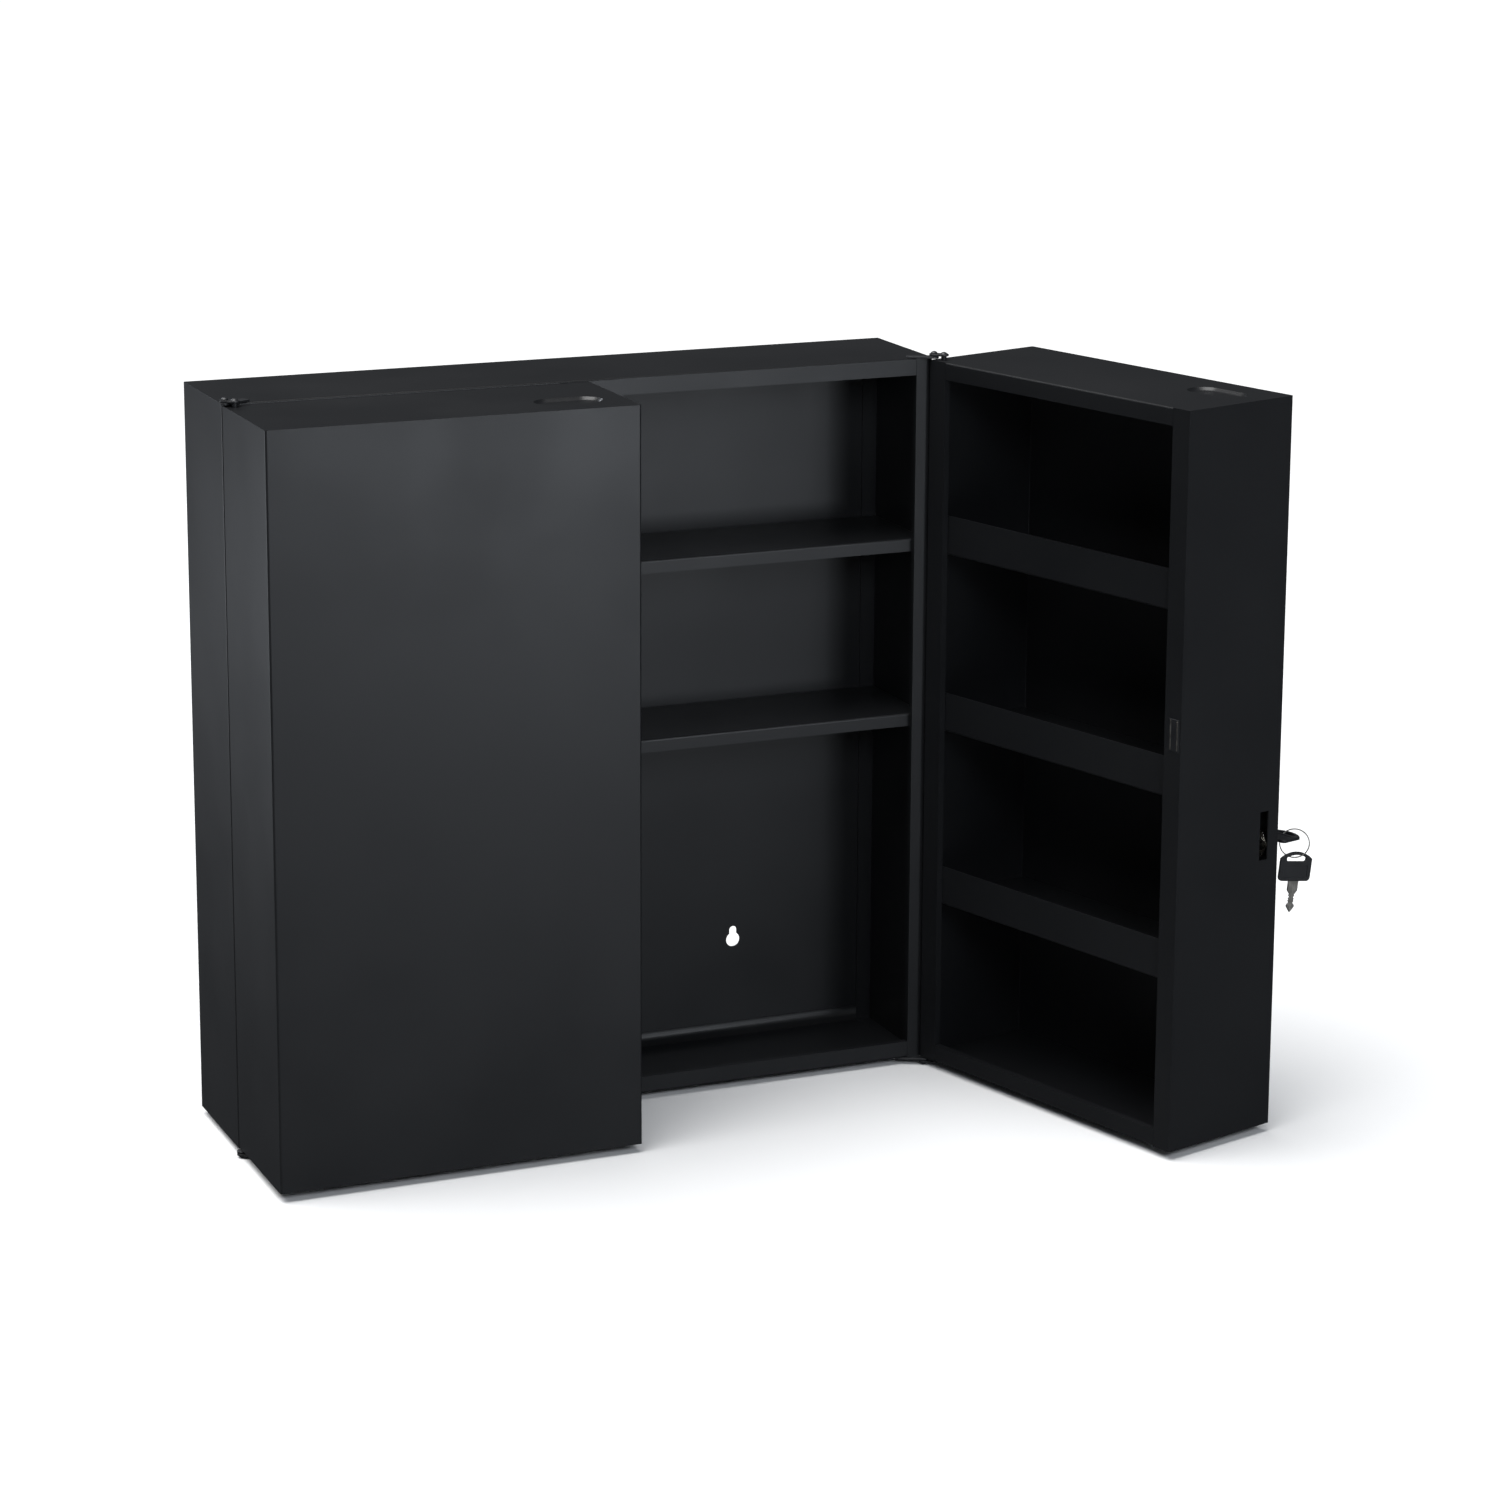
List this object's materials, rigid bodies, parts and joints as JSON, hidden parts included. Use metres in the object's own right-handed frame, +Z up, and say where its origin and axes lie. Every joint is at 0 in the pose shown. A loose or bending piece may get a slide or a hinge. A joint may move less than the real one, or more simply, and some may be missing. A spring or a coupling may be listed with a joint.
{
  "type": "lockable medicine cabinet",
  "caption": "Shallow wall cabinet of folded black steel with twin deep box doors, inner shelves with rails and a cam lock with keys on a ring",
  "frame": {"origin": "centre of the four wall keyholes, on the rear face", "axes": "+X to the right seen from the front, +Y back into the wall, +Z up; the doors face -Y"},
  "size_m": [0.7401, 0.353, 0.5406],
  "materials": {
    "black_powder_coat": "satin black powder coat on folded sheet steel",
    "black_zinc_steel": "black passivated steel plate",
    "nickel_plate": "bright nickel plate",
    "black_plastic": "moulded black plastic"
  },
  "bodies": {
    "cabinet": {"body_left_side": "black_powder_coat", "body_right_side": "black_powder_coat", "body_top": "black_powder_coat", "body_bottom": "black_powder_coat", "body_back": "black_powder_coat", "lower_shelf": "black_powder_coat", "upper_shelf": "black_powder_coat", "centre_post": "black_powder_coat", "left_upper_hinge_plate": "black_zinc_steel", "left_lower_hinge_plate": "black_zinc_steel", "right_upper_hinge_plate": "black_zinc_steel", "right_lower_hinge_plate": "black_zinc_steel", "left_hinge_pins": "black_zinc_steel", "right_hinge_pins": "black_zinc_steel"},
    "left_door": {"left_door_skin": "black_powder_coat", "left_door_top": "black_powder_coat", "left_door_bottom": "black_powder_coat", "left_door_shelf_1": "black_powder_coat", "left_door_shelf_2": "black_powder_coat", "left_door_shelf_3": "black_powder_coat", "left_door_upper_ear": "black_zinc_steel", "left_door_lower_ear": "black_zinc_steel", "left_catch": "black_plastic", "left_catch_poles": "nickel_plate"},
    "right_door": {"right_door_skin": "black_powder_coat", "right_door_top": "black_powder_coat", "right_door_bottom": "black_powder_coat", "right_door_shelf_1": "black_powder_coat", "right_door_shelf_2": "black_powder_coat", "right_door_shelf_3": "black_powder_coat", "right_door_upper_ear": "black_zinc_steel", "right_door_lower_ear": "black_zinc_steel", "right_catch": "black_plastic", "right_catch_poles": "nickel_plate", "lock_barrel": "nickel_plate", "lock_nut": "nickel_plate"},
    "plug": {"lock_plug": "nickel_plate", "lock_cam": "nickel_plate", "cam_screw": "nickel_plate"},
    "key": {"key_blade": "nickel_plate", "key_head": "black_plastic"},
    "ring": {"key_ring": "nickel_plate"},
    "spare_key": {"spare_key_blade": "nickel_plate", "spare_key_head": "black_plastic"}
  },
  "joints": [
    {"name": "left_door_hinge", "type": "hinge", "parent": "cabinet", "child": "left_door", "pos_m": [-0.264, -0.0995, 0], "axis": [0, 0, -1], "range_deg": [0, 150]},
    {"name": "right_door_hinge", "type": "hinge", "parent": "cabinet", "child": "right_door", "pos_m": [0.264, -0.0995, 0], "axis": [0, 0, 1], "range_deg": [-106, 44]},
    {"name": "lock_turn", "type": "hinge", "parent": "right_door", "child": "plug", "pos_m": [0.42525, -0.30813, -0.0854], "axis": [0.9613, 0.2756, 0], "range_deg": [0, 90]},
    {"name": "key_withdraw", "type": "slide", "parent": "plug", "child": "key", "axis": [0.9613, 0.2756, 0], "range_m": [0, 0.018]},
    {"name": "ring_swing", "type": "hinge", "parent": "key", "child": "ring", "pos_m": [0.45496, -0.29962, -0.0854], "axis": [0.2756, -0.9613, 0], "range_deg": [-6, 18]},
    {"name": "spare_key_swing", "type": "hinge", "parent": "ring", "child": "spare_key", "pos_m": [0.45776, -0.30117, -0.1029], "axis": [0.8746, -0.4848, 0], "range_deg": [-18, 18]}
  ]
}
